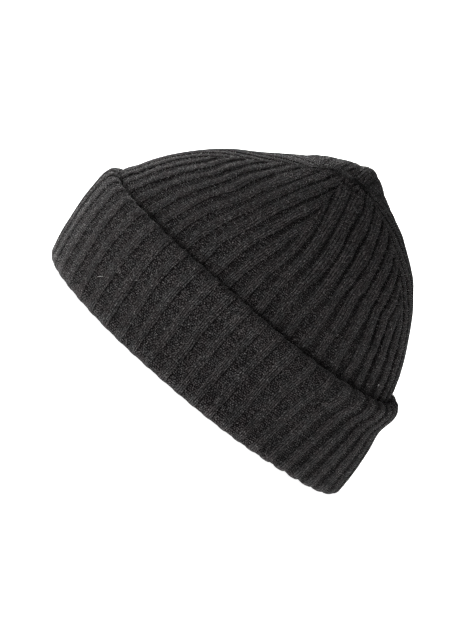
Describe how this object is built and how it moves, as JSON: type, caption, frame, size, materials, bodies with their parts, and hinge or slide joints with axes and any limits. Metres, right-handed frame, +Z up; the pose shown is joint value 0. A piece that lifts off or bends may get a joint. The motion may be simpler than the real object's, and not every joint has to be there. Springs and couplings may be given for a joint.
{
  "type": "fisherman beanie",
  "caption": "Ribbed knit cap: a hollow dome that narrows in gores to a small closing seam, with a deep turned-up cuff round an open rim.",
  "frame": {"origin": "middle of the hat's outline on the surface that the rim stands on", "axes": "+Z up from the rim to the crown, +Y towards the back of the head, +X towards the wearer's left ear"},
  "size_m": [0.165, 0.2118, 0.1518],
  "materials": {
    "ribbed_wool": "charcoal heather wool in a broad rib, matt with a short soft nap"
  },
  "bodies": {
    "root": {"crown": "ribbed_wool", "cuff": "ribbed_wool"}
  },
  "joints": []
}
